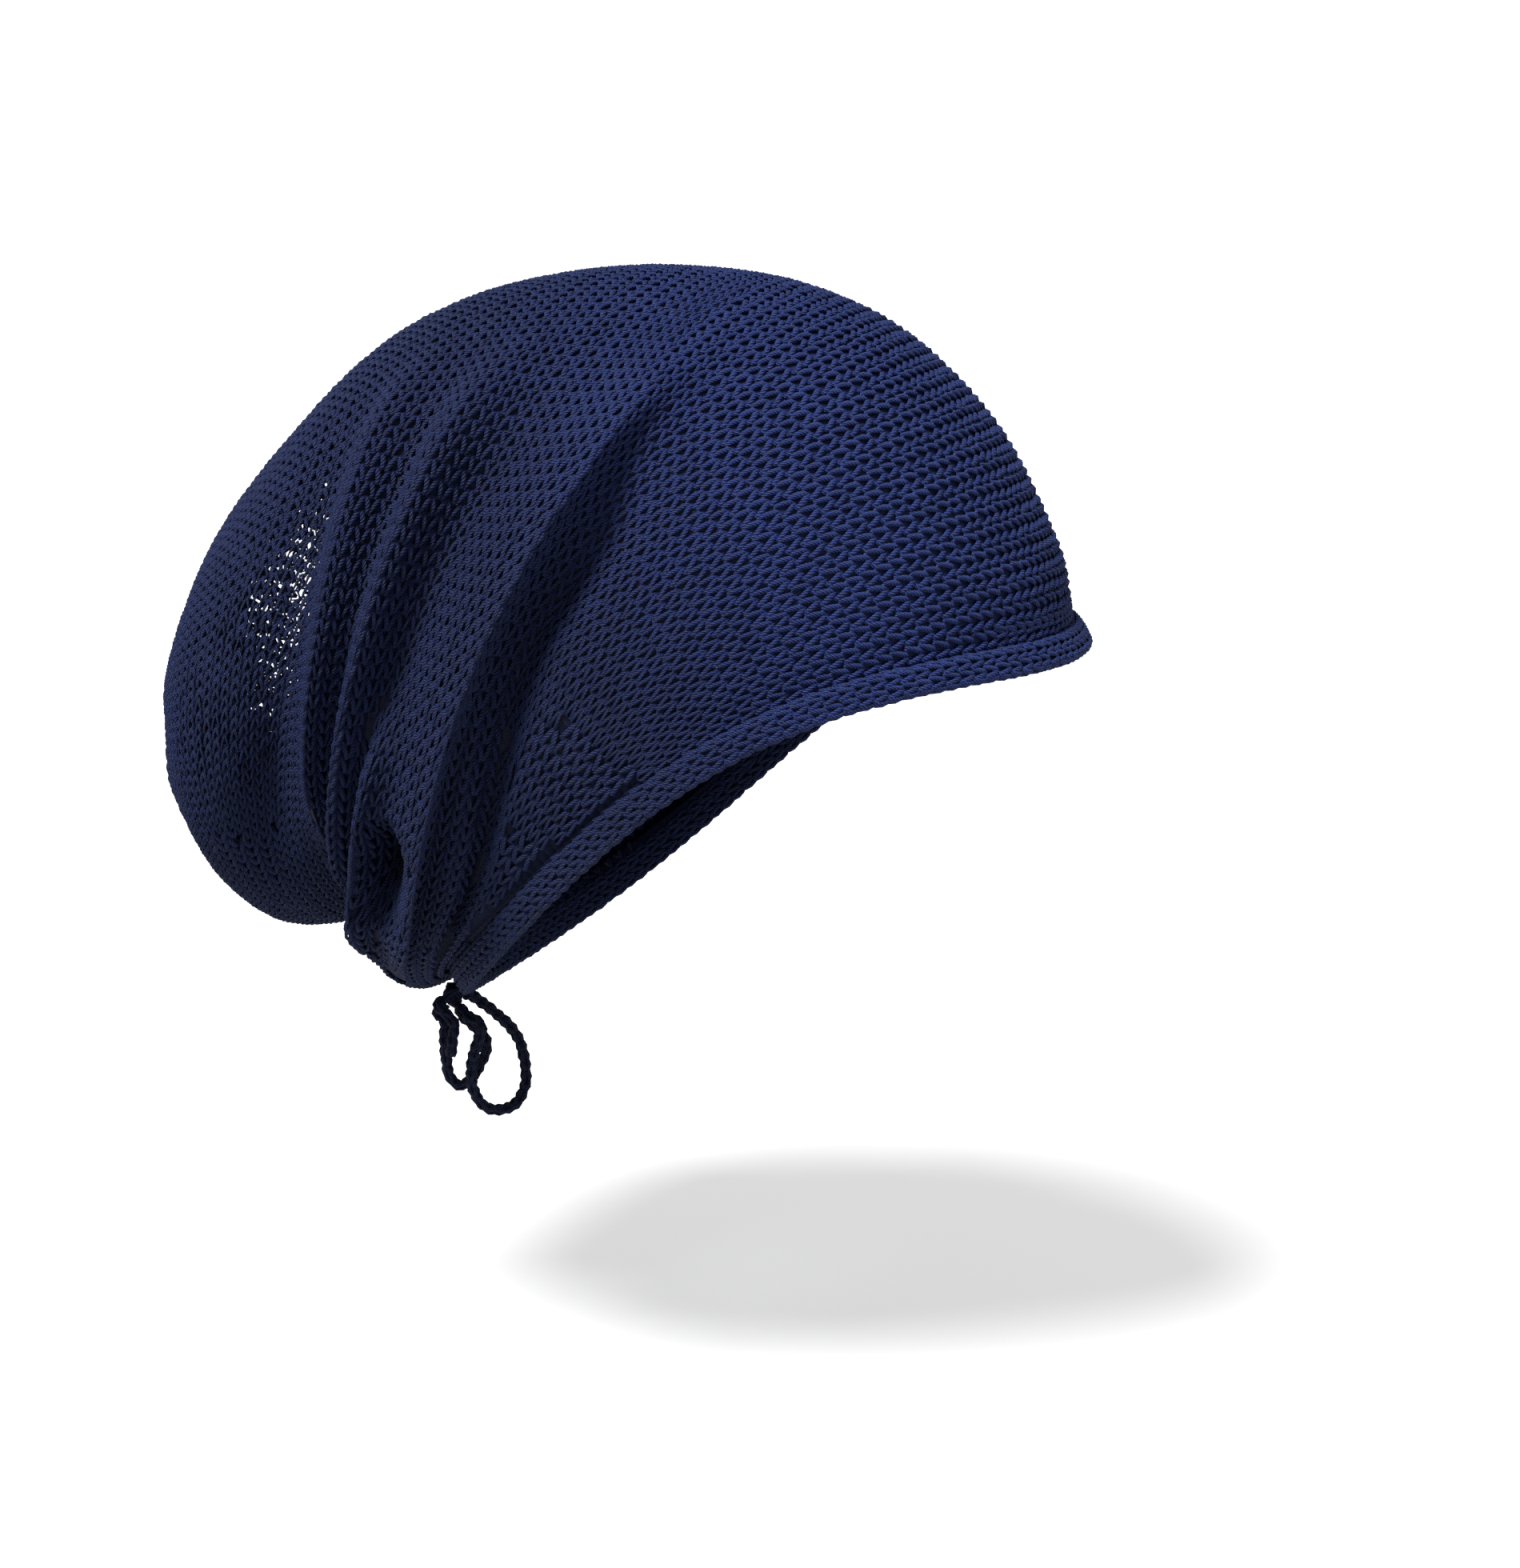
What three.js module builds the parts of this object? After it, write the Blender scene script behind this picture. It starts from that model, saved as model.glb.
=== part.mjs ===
// Slouchy knitted beanie with a drawcord bow at the nape, in the shape that it has when worn.
// Millimetres. +Z is up, -Y is the forehead side, -X is the wearer's right.
// The origin is the head seat: the middle of the opening that the head goes into.

import * as THREE from 'three';
import { mergeVertices } from 'three/addons/utils/BufferGeometryUtils.js';

// Driving sizes of the hat
const HAT_DEPTH = 240;
const HAT_RISE = 190;
const HAT_BREADTH = 160;
const WALL = 2.4;
const GAP = 0.3;

// Driving sizes of the rolled hem
const HEM_HEIGHT = 8.0;
const HEM_THICKNESS = 4.2;
const HEM_STANDS_OUT = 0.7;
const HEM_SQUARENESS = 0.6;

// Driving sizes of the folds and of the gathered end
const FOLD_HEIGHT = 11.0;
const FAR_FOLD_SHARE = 0.8;
const FAR_FOLD_SHIFT = 0.3;
const GATHER_PLEATS = 10;
const GATHER_HEIGHT = 1.0;
const GATHER_DIMPLE = 4.0;

// Driving sizes of the drawcord
const CORD_D = 3.3;
const CORD_SIDES = 8;
const CORD_STEP = 4.0;
const KNOT_R = 4.0;
const KNOT_TURN = 169;
const KNOT_RISE = 2.0;

// How fine the knit body is cut
const STEPS_ROUND = 56;
const STEPS_UP = 44;
const HEM_SIDES = 10;
const ROWS = [
  { row: 0, ring: 0 },
  { row: 3, ring: 1.2 },
  { row: 35, ring: 11.2 },
  { row: STEPS_UP, ring: 16 },
];

// The knit body is a tube of rings that fan out from a pinch at the nape. Each row is one ring:
// front = its forehead or top end, nape = its nape or underside end (back and up are shares of
// HAT_DEPTH and HAT_RISE), half = half its breadth and lift = how far its sides rise, as shares.
const SECTIONS = [
  { frontBack: -0.322, frontUp: 0.308, napeBack: 0.347, napeUp: -0.209, half: 0.481, lift: 0.0708 },
  { frontBack: -0.312, frontUp: 0.384, napeBack: 0.354, napeUp: -0.223, half: 0.487, lift: 0.0667 },
  { frontBack: -0.284, frontUp: 0.465, napeBack: 0.361, napeUp: -0.232, half: 0.494, lift: 0.0608 },
  { frontBack: -0.243, frontUp: 0.554, napeBack: 0.368, napeUp: -0.240, half: 0.500, lift: 0.0533 },
  { frontBack: -0.184, frontUp: 0.636, napeBack: 0.375, napeUp: -0.247, half: 0.503, lift: 0.0467 },
  { frontBack: -0.112, frontUp: 0.701, napeBack: 0.384, napeUp: -0.253, half: 0.506, lift: 0.0408 },
  { frontBack: -0.026, frontUp: 0.742, napeBack: 0.400, napeUp: -0.254, half: 0.506, lift: 0.0354 },
  { frontBack: 0.062, frontUp: 0.759, napeBack: 0.415, napeUp: -0.241, half: 0.503, lift: 0.0304 },
  { frontBack: 0.152, frontUp: 0.760, napeBack: 0.421, napeUp: -0.208, half: 0.500, lift: 0.0217 },
  { frontBack: 0.244, frontUp: 0.746, napeBack: 0.416, napeUp: -0.161, half: 0.494, lift: 0.0129 },
  { frontBack: 0.335, frontUp: 0.715, napeBack: 0.426, napeUp: -0.132, half: 0.487, lift: 0.0042 },
  { frontBack: 0.421, frontUp: 0.658, napeBack: 0.482, napeUp: -0.168, half: 0.475, lift: 0.0000 },
  { frontBack: 0.507, frontUp: 0.554, napeBack: 0.538, napeUp: -0.175, half: 0.452, lift: 0.0000 },
  { frontBack: 0.570, frontUp: 0.457, napeBack: 0.577, napeUp: -0.129, half: 0.410, lift: 0.0000 },
  { frontBack: 0.610, frontUp: 0.340, napeBack: 0.605, napeUp: -0.069, half: 0.338, lift: 0.0000 },
  { frontBack: 0.633, frontUp: 0.229, napeBack: 0.622, napeUp: 0.001, half: 0.219, lift: 0.0000 },
  { frontBack: 0.650, frontUp: 0.085, napeBack: 0.650, napeUp: 0.085, half: 0.0, lift: 0.0 },
];
const RINGS = SECTIONS.length - 1;
const LIFT_TO_FRONT = 0.8;

// Folds run along the rings on both sides of the hat. ring = the ring a fold follows where it starts,
// ringLow = the ring it has slid to at the nape, height = share of FOLD_HEIGHT (minus is a valley),
// width = in rings, lean = how far its crest tips to the front. The fold grows between the angles
// from and full, and dies out between the angles last and to, counted in degrees from the front.
const FOLDS = [
  { ring: 5.05, ringLow: 2.40, height: -0.56, width: 0.50, lean: 0, from: 50, full: 76, last: 124, to: 150 },
  { ring: 6.14, ringLow: 5.7, height: 1.08, width: 0.46, lean: 0.75, from: 22, full: 62, last: 128, to: 152 },
  { ring: 8.22, ringLow: 8.30, height: 0.72, width: 0.44, lean: 0.1, from: 26, full: 60, last: 126, to: 150 },
  { ring: 8.90, ringLow: 9.10, height: -0.28, width: 0.30, lean: 0, from: 42, full: 66, last: 118, to: 146 },
  { ring: 9.55, ringLow: 9.90, height: 0.52, width: 0.36, lean: 0, from: 28, full: 56, last: 112, to: 140 },
  { ring: 10.6, ringLow: 10.9, height: -0.62, width: 0.50, lean: 0, from: 34, full: 62, last: 112, to: 144 },
  { ring: 12.20, ringLow: 12.00, height: 0.24, width: 0.80, lean: 0, from: 40, full: 80, last: 110, to: 150 },
];
const FOLD_SLIDE_FROM = 78;
const FOLD_SLIDE_TO = 136;

// Low on each side the cloth folds in a lobe with a deep pocket in it: a shallow valley above the
// lobe, its hind edge, and the pocket. The columns are those of the table above.
const LOBE_FOLDS = [
  { ring: 7.40, ringLow: 8.10, height: -0.46, width: 0.55, lean: 0, from: 40, full: 66, last: 138, to: 160 },
  { ring: 7.50, ringLow: 7.10, height: 0.66, width: 0.40, lean: 0, from: 90, full: 108, last: 132, to: 154 },
  { ring: 6.65, ringLow: 6.6, height: -1.5, width: 0.42, lean: 0, from: 111, full: 121, last: 124, to: 135 },
];

// The drawcord is tied in a bow on the outer face of the hem, beside the middle of the nape. The
// routes list how far to the side, back and up the cord is from the knot, as shares of BOW_DROP.
// Each loop leaves the knot and comes back to it. The long loop swings back to the middle of the nape.
const BOW_DROP = 33;
const SHORT_LOOP = [
  { side: -0.046, back: 0.081, up: -0.091 },
  { side: -0.074, back: 0.132, up: -0.149 },
  { side: -0.067, back: 0.061, up: -0.185 },
  { side: -0.079, back: 0.052, up: -0.347 },
  { side: -0.061, back: 0.050, up: -0.519 },
  { side: -0.024, back: 0.035, up: -0.689 },
  { side: 0.015, back: -0.030, up: -0.767 },
  { side: 0.045, back: -0.124, up: -0.699 },
  { side: 0.073, back: -0.198, up: -0.565 },
  { side: 0.085, back: -0.238, up: -0.390 },
  { side: 0.089, back: -0.025, up: -0.191 },
  { side: 0.055, back: -0.016, up: -0.117 },
];
const LONG_LOOP = [
  { side: -0.055, back: -0.086, up: -0.081 },
  { side: -0.089, back: -0.140, up: -0.132 },
  { side: -0.127, back: -0.289, up: -0.192 },
  { side: -0.121, back: -0.256, up: -0.343 },
  { side: -0.103, back: -0.202, up: -0.500 },
  { side: -0.085, back: -0.177, up: -0.642 },
  { side: -0.027, back: -0.176, up: -0.793 },
  { side: 0.045, back: -0.225, up: -0.923 },
  { side: 0.152, back: -0.311, up: -0.979 },
  { side: 0.273, back: -0.405, up: -0.951 },
  { side: 0.379, back: -0.446, up: -0.809 },
  { side: 0.424, back: -0.415, up: -0.595 },
  { side: 0.394, back: -0.340, up: -0.379 },
  { side: 0.198, back: -0.053, up: -0.053 },
  { side: 0.122, back: -0.033, up: -0.033 },
];
const SHORT_TAIL = [
  { side: -0.124, back: 0.033, up: -0.023 },
  { side: -0.202, back: 0.053, up: -0.038 },
  { side: -0.188, back: -0.080, up: -0.177 },
  { side: -0.200, back: -0.075, up: -0.320 },
  { side: -0.191, back: -0.054, up: -0.457 },
];

const group = new THREE.Group();
group.name = 'slouchy_beanie';

// Small helpers
const clamp = (x, low, high) => Math.min(high, Math.max(low, x));
const rad = (deg) => (deg * Math.PI) / 180;

function smooth(from, to, x) {
  const t = clamp((x - from) / (to - from), 0, 1);
  return t * t * (3 - 2 * t);
}

// One column of the section table at any place between rings
function column(name, k) {
  const i = Math.min(RINGS - 1, Math.floor(k));
  const t = k - i;
  const at = (j) => SECTIONS[clamp(j, 0, RINGS)][name];
  const [a, b, c, d] = [at(i - 1), at(i), at(i + 1), at(i + 2)];
  const m0 = (c - a) / 2;
  const m1 = (d - b) / 2;
  const t2 = t * t;
  const t3 = t2 * t;
  return b * (2 * t3 - 3 * t2 + 1) + m0 * (t3 - 2 * t2 + t) + c * (3 * t2 - 2 * t3) + m1 * (t3 - t2);
}

// A point of the smooth body, before the folds: ring k, angle u from the front
function basePoint(k, u) {
  const frontY = column('frontBack', k) * HAT_DEPTH;
  const frontZ = column('frontUp', k) * HAT_RISE;
  const napeY = column('napeBack', k) * HAT_DEPTH;
  const napeZ = column('napeUp', k) * HAT_RISE;
  const alongY = (frontY - napeY) / 2;
  const alongZ = (frontZ - napeZ) / 2;
  const length = Math.hypot(alongY, alongZ) + 1e-9;
  const c = Math.cos(u);
  const s = Math.sin(u);
  const lift = column('lift', k) * HAT_DEPTH * s * s * (1 + LIFT_TO_FRONT * c);
  return new THREE.Vector3(
    -column('half', k) * HAT_BREADTH * s,
    (frontY + napeY) / 2 + alongY * c + (alongZ / length) * lift,
    (frontZ + napeZ) / 2 + alongZ * c - (alongY / length) * lift,
  );
}

// Directions on the body: out of it, and along it toward the opening
function baseFrame(k, u) {
  const e = 0.02;
  const up = basePoint(Math.min(RINGS, k + e), u).sub(basePoint(Math.max(0, k - e), u));
  const round = basePoint(k, u + e).sub(basePoint(k, u - e));
  const out = new THREE.Vector3().crossVectors(up, round).normalize();
  return { out, down: up.normalize().negate() };
}

// How far the folds move the body, out of it and toward the opening
function foldAt(k, u) {
  const turn = ((u % (2 * Math.PI)) + 2 * Math.PI) % (2 * Math.PI);
  const far = turn > Math.PI;
  const deg = ((far ? 2 * Math.PI - turn : turn) * 180) / Math.PI;
  const move = { out: 0, down: 0 };
  for (const fold of [...FOLDS, ...LOBE_FOLDS]) {
    const slide = smooth(FOLD_SLIDE_FROM, FOLD_SLIDE_TO, deg);
    const ring = fold.ring + (fold.ringLow - fold.ring) * slide + (far ? FAR_FOLD_SHIFT : 0);
    const grow = smooth(fold.from, fold.full, deg) * (1 - smooth(fold.last, fold.to, deg));
    const height = fold.height * FOLD_HEIGHT * (far ? FAR_FOLD_SHARE : 1);
    const h = height * grow * Math.exp(-(((k - ring) / fold.width) ** 2));
    move.out += h;
    move.down += h * fold.lean;
  }
  const gather = smooth(RINGS - 3.5, RINGS - 1, k) * (1 - smooth(RINGS - 0.6, RINGS, k));
  move.out += GATHER_HEIGHT * gather * Math.cos(GATHER_PLEATS * u);
  move.out -= GATHER_DIMPLE * smooth(RINGS - 1.2, RINGS, k);
  return move;
}

// A point of the outer face of the knit body
function bodyPoint(k, u) {
  const kk = Math.min(k, RINGS - 0.001);
  const { out, down } = baseFrame(kk, u);
  const move = foldAt(k, u);
  return basePoint(k, u).addScaledVector(out, move.out).addScaledVector(down, move.down);
}

// The way out of the folded body at a point
function bodyOut(k, u) {
  const e = 0.08;
  const up = bodyPoint(Math.min(RINGS - 0.02, k + e), u).sub(bodyPoint(Math.max(0, k - e), u));
  const round = bodyPoint(k, u + e).sub(bodyPoint(k, u - e));
  return new THREE.Vector3().crossVectors(up, round).normalize();
}

// The way across the wall: halfway between out of the folded body and out of the smooth one
function wallWay(k, u) {
  return bodyOut(k, u).add(baseFrame(Math.min(k, RINGS - 0.02), u).out).normalize();
}

// A closed mesh from a list of corners and a list of triangles
function solid(points, faces) {
  const geometry = new THREE.BufferGeometry();
  const flat = points.flatMap((p) => [p.x, p.y, p.z]);
  geometry.setAttribute('position', new THREE.Float32BufferAttribute(flat, 3));
  geometry.setIndex(faces.flat());
  geometry.computeVertexNormals();
  return geometry;
}

function addPart(name, geometry, color, roughness) {
  const material = new THREE.MeshStandardMaterial({ color, roughness, metalness: 0 });
  material.name = name;
  const mesh = new THREE.Mesh(geometry, material);
  mesh.name = name;
  group.add(mesh);
  return mesh;
}

// Straight-line reading of one column of a table against another
function between(rows, from, to, x) {
  const j = rows.findIndex((row) => row[from] >= x);
  if (j <= 0) {
    return j === 0 ? rows[0][to] : rows[rows.length - 1][to];
  }
  const [a, b] = [rows[j - 1], rows[j]];
  return a[to] + ((b[to] - a[to]) * (x - a[from])) / (b[from] - a[from]);
}

// Rows of the mesh that slide with the folds, so that each crest has rows of corners along it
function rowRing(row, u) {
  const ring = between(ROWS, 'row', 'ring', row);
  const far = u > Math.PI;
  const deg = ((far ? 2 * Math.PI - u : u) * 180) / Math.PI;
  const shift = far ? FAR_FOLD_SHIFT : 0;
  const stops = FOLDS.map((fold) => ({ ring: fold.ring + shift, low: fold.ringLow + shift }));
  stops.sort((a, b) => a.ring - b.ring);
  stops.unshift({ ring: 0, low: 0 });
  stops.push({ ring: RINGS, low: RINGS });
  const low = between(stops, 'ring', 'low', ring);
  return ring + (low - ring) * smooth(FOLD_SLIDE_FROM, FOLD_SLIDE_TO, deg);
}

// Knit crown: one wall of even thickness, open where the head goes in
function knitCrown() {
  const points = [];
  const faces = [];
  const index = (skin, row, step) => (skin * STEPS_UP + row) * STEPS_ROUND + (step % STEPS_ROUND);
  for (let skin = 0; skin < 2; skin += 1) {
    for (let row = 0; row < STEPS_UP; row += 1) {
      for (let step = 0; step < STEPS_ROUND; step += 1) {
        const u = (2 * Math.PI * step) / STEPS_ROUND;
        const k = rowRing(row, u);
        const p = bodyPoint(k, u);
        if (skin === 1) {
          p.addScaledVector(row === 0 ? hemFrame(u).out : wallWay(k, u), -WALL);
        }
        points.push(p);
      }
    }
  }
  const end = bodyPoint(RINGS, 0);
  const tips = [points.length, points.length + 1];
  points.push(end, end.clone().add(new THREE.Vector3(0, -WALL, 0)));
  const quad = (a, b, c, d) => faces.push([a, b, c], [a, c, d]);
  for (let step = 0; step < STEPS_ROUND; step += 1) {
    const next = step + 1;
    for (let row = 0; row < STEPS_UP - 1; row += 1) {
      const up = row + 1;
      quad(index(0, row, step), index(0, up, step), index(0, up, next), index(0, row, next));
      quad(index(1, row, step), index(1, row, next), index(1, up, next), index(1, up, step));
    }
    const last = STEPS_UP - 1;
    faces.push([index(0, last, step), tips[0], index(0, last, next)]);
    faces.push([index(1, last, step), index(1, last, next), tips[1]]);
    quad(index(0, 0, step), index(0, 0, next), index(1, 0, next), index(1, 0, step));
  }
  return solid(points, faces);
}

// Frame of the hem at an angle: the edge it hangs from, and the ways out and up across the hem
function hemFrame(u) {
  const edge = bodyPoint(0, u);
  const e = 0.02;
  const round = bodyPoint(0, u + e).sub(bodyPoint(0, u - e)).normalize();
  const first = SECTIONS[0];
  const alongY = (first.frontBack - first.napeBack) * HAT_DEPTH;
  const alongZ = (first.frontUp - first.napeUp) * HAT_RISE;
  const up = new THREE.Vector3(0, alongZ, -alongY).normalize();
  up.addScaledVector(round, -up.dot(round)).normalize();
  const out = new THREE.Vector3().crossVectors(up, round).normalize();
  return { edge, out, up };
}

// Rolled hem: a closed ring of rounded section that carries the drawcord
function rolledHem() {
  const points = [];
  const faces = [];
  for (let step = 0; step < STEPS_ROUND; step += 1) {
    const u = (2 * Math.PI * step) / STEPS_ROUND;
    const { edge, out, up } = hemFrame(u);
    for (let side = 0; side < HEM_SIDES; side += 1) {
      const a = (2 * Math.PI * side) / HEM_SIDES;
      const c = Math.cos(a);
      const s = Math.sin(a);
      const across = Math.sign(c) * Math.abs(c) ** HEM_SQUARENESS * (HEM_THICKNESS / 2);
      const tall = Math.sign(s) * Math.abs(s) ** HEM_SQUARENESS * (HEM_HEIGHT / 2);
      const middle = HEM_STANDS_OUT - WALL / 2;
      const p = edge.clone().addScaledVector(out, middle + across);
      points.push(p.addScaledVector(up, tall - HEM_HEIGHT / 2 - GAP));
    }
  }
  for (let step = 0; step < STEPS_ROUND; step += 1) {
    const next = (step + 1) % STEPS_ROUND;
    for (let side = 0; side < HEM_SIDES; side += 1) {
      const turn = (side + 1) % HEM_SIDES;
      const a = step * HEM_SIDES + side;
      const b = next * HEM_SIDES + side;
      const c = next * HEM_SIDES + turn;
      const d = step * HEM_SIDES + turn;
      faces.push([a, d, c], [a, c, b]);
    }
  }
  return solid(points, faces);
}

// Middle of the knot, on the outer face of the hem
function knotMiddle() {
  const { edge, out, up } = hemFrame(rad(KNOT_TURN));
  const away = HEM_STANDS_OUT - WALL / 2 + HEM_THICKNESS / 2 + GAP + KNOT_R;
  return edge.clone().addScaledVector(out, away).addScaledVector(up, KNOT_RISE - HEM_HEIGHT - GAP);
}

// Knot of the bow
function knot() {
  const ball = new THREE.IcosahedronGeometry(KNOT_R, 3);
  ball.deleteAttribute('normal');
  ball.deleteAttribute('uv');
  const geometry = mergeVertices(ball, 1e-4);
  geometry.computeVertexNormals();
  const middle = knotMiddle();
  return geometry.translate(middle.x, middle.y, middle.z);
}

// A cord along a route of the bow
function cord(route) {
  const middle = knotMiddle();
  const at = (p) => new THREE.Vector3(p.side, p.back, p.up).multiplyScalar(BOW_DROP).add(middle);
  const path = new THREE.CatmullRomCurve3(route.map(at), false, 'centripetal');
  const section = new THREE.Shape();
  for (let side = 0; side < CORD_SIDES; side += 1) {
    const a = (2 * Math.PI * side) / CORD_SIDES;
    const x = (CORD_D / 2) * Math.cos(a);
    const y = (CORD_D / 2) * Math.sin(a);
    if (side === 0) {
      section.moveTo(x, y);
    } else {
      section.lineTo(x, y);
    }
  }
  section.closePath();
  const steps = Math.round(path.getLength() / CORD_STEP);
  return new THREE.ExtrudeGeometry(section, { steps, extrudePath: path, bevelEnabled: false });
}

addPart('knit_crown', knitCrown(), 0x1f2a6b, 0.9);
addPart('rolled_hem', rolledHem(), 0x1f2a6b, 0.9);
addPart('bow_knot', knot(), 0x151c4a, 0.9);
addPart('bow_loop_short', cord(SHORT_LOOP), 0x151c4a, 0.9);
addPart('bow_loop_long', cord(LONG_LOOP), 0x151c4a, 0.9);
addPart('bow_tail_short', cord(SHORT_TAIL), 0x151c4a, 0.9);

export default group;
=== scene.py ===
# %% [markdown]
# # A slouchy knitted beanie, stitch by stitch
#
# The hat is one open knit cloth in navy cotton, shaped as when it is worn: taut over the forehead and
# the top, with its slack in folds behind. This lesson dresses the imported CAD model: its cloth becomes
# real loops of yarn that follow the same surface, its hem a rolled chain, and its drawcord a crocheted
# cord tied in a bow.

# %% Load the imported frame
import math

import bpy
import numpy as np
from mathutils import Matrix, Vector


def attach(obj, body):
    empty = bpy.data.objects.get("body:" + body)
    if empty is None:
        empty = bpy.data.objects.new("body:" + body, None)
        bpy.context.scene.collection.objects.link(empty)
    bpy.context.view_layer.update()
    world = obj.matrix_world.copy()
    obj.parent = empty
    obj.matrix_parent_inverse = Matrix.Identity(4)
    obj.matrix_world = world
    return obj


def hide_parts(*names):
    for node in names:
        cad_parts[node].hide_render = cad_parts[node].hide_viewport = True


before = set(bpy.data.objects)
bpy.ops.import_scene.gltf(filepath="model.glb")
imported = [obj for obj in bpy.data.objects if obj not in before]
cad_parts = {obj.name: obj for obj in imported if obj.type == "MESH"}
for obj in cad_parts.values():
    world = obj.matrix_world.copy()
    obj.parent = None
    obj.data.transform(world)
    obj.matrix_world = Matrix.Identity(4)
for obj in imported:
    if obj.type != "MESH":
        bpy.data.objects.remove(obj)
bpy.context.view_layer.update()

MM = 0.001

# %% [markdown]
# ## The camera
#
# A product photograph is taken with a long lens, here from about a metre away, so that the object keeps
# its proportions. One could aim the camera with a constraint; here its place and its turn are plain
# numbers, worked out from the slope of the knit ribs and the two edges of the hem.

# %% Camera at the photograph's viewing angle
SEEN_FROM = 290.0
SEEN_ABOVE = 13.5
DISTANCE = 950 * MM
LOOK_TURN = 20.19
LOOK_DOWN = 12.74
LENS = 87.3

turn = math.radians(SEEN_FROM)
rise = math.radians(SEEN_ABOVE)
place = DISTANCE * Vector((
    math.sin(turn) * math.cos(rise), -math.cos(turn) * math.cos(rise), math.sin(rise)
))
camera = bpy.data.objects.new("photo_camera", bpy.data.cameras.new("photo_camera"))
bpy.context.scene.collection.objects.link(camera)
camera.location = place
camera.rotation_euler = (
    math.radians(90 - LOOK_DOWN), 0.0, math.radians(LOOK_TURN - 90)
)
camera.data.sensor_fit = "HORIZONTAL"
camera.data.sensor_width = 36
camera.data.lens = LENS
camera.data.clip_start = 0.05
bpy.context.scene.camera = camera
print("camera at", [round(x / MM) for x in place], "mm")

# %% [markdown]
# ## The shape of the cloth
#
# The cloth is a tube of rings that fan out from a pinch at the nape: ring 0 meets the hem, and ring 16
# is the gathered end of the bag. A table holds where each ring starts at the front, where it ends at
# the nape and how broad it is, as shares of the hat's three sizes. A cloth simulation could drape such
# a hat, but it wouldn't put the folds where they are seen, so the same table as the CAD's is used.

# %% Rings of the knit body
DEPTH, RISE, BREADTH = 240.0, 190.0, 160.0
RING_TABLE = np.array([
    # front back, front up, nape back, nape up, half breadth, lift of the sides
    (-0.322, 0.308, 0.347, -0.209, 0.481, 0.0708),
    (-0.312, 0.384, 0.354, -0.223, 0.487, 0.0667),
    (-0.284, 0.465, 0.361, -0.232, 0.494, 0.0608),
    (-0.243, 0.554, 0.368, -0.240, 0.500, 0.0533),
    (-0.184, 0.636, 0.375, -0.247, 0.503, 0.0467),
    (-0.112, 0.701, 0.384, -0.253, 0.506, 0.0408),
    (-0.026, 0.742, 0.400, -0.254, 0.506, 0.0354),
    (0.062, 0.759, 0.415, -0.241, 0.503, 0.0304),
    (0.152, 0.760, 0.421, -0.208, 0.500, 0.0217),
    (0.244, 0.746, 0.416, -0.161, 0.494, 0.0129),
    (0.335, 0.715, 0.426, -0.132, 0.487, 0.0042),
    (0.421, 0.658, 0.482, -0.168, 0.475, 0.0000),
    (0.507, 0.554, 0.538, -0.175, 0.452, 0.0000),
    (0.570, 0.457, 0.577, -0.129, 0.410, 0.0000),
    (0.610, 0.340, 0.605, -0.069, 0.338, 0.0000),
    (0.633, 0.229, 0.622, 0.001, 0.219, 0.0000),
    (0.650, 0.085, 0.650, 0.085, 0.000, 0.0000),
])
RINGS = len(RING_TABLE) - 1
LIFT_TO_FRONT = 0.8


def smooth(start, end, x):
    t = np.clip((x - start) / (end - start), 0, 1)
    return t * t * (3 - 2 * t)


def unit(v):
    return v / (np.linalg.norm(v, axis=-1, keepdims=True) + 1e-12)


def column(number, k):
    values = RING_TABLE[:, number]
    i = np.minimum(RINGS - 1, np.floor(k).astype(int))
    t = k - i
    a, b, c, d = (values[np.clip(i + step, 0, RINGS)] for step in (-1, 0, 1, 2))
    return (b * (2 * t**3 - 3 * t**2 + 1) + (c - a) / 2 * (t**3 - 2 * t**2 + t)
            + c * (3 * t**2 - 2 * t**3) + (d - b) / 2 * (t**3 - t**2))


def base_point(k, u):
    front_y, front_z = column(0, k) * DEPTH, column(1, k) * RISE
    nape_y, nape_z = column(2, k) * DEPTH, column(3, k) * RISE
    along_y, along_z = (front_y - nape_y) / 2, (front_z - nape_z) / 2
    length = np.hypot(along_y, along_z) + 1e-9
    c, s = np.cos(u), np.sin(u)
    lift = column(5, k) * DEPTH * s * s * (1 + LIFT_TO_FRONT * c)
    return np.stack([
        -column(4, k) * BREADTH * s,
        (front_y + nape_y) / 2 + along_y * c + along_z / length * lift,
        (front_z + nape_z) / 2 + along_z * c - along_y / length * lift,
    ], axis=-1)


SMALL_STEP = 0.02


def base_frame(k, u):
    """The way out of the cloth and the way down it, from small steps on it."""
    higher, lower = np.minimum(RINGS, k + SMALL_STEP), np.maximum(0, k - SMALL_STEP)
    up = base_point(higher, u) - base_point(lower, u)
    around = base_point(k, u + SMALL_STEP) - base_point(k, u - SMALL_STEP)
    return unit(np.cross(up, around)), -unit(up)


# %% [markdown]
# ## Folds
#
# Slack cloth falls in ridges and valleys that run from the top of the hat down to the nape, where the
# drawcord draws it together. Each fold is one row of the table: a ridge or a valley that follows a ring
# and slides toward the hem as it nears the nape. Sculpting would give the same forms, but numbers keep
# the cloth on the CAD's own surface.

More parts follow.
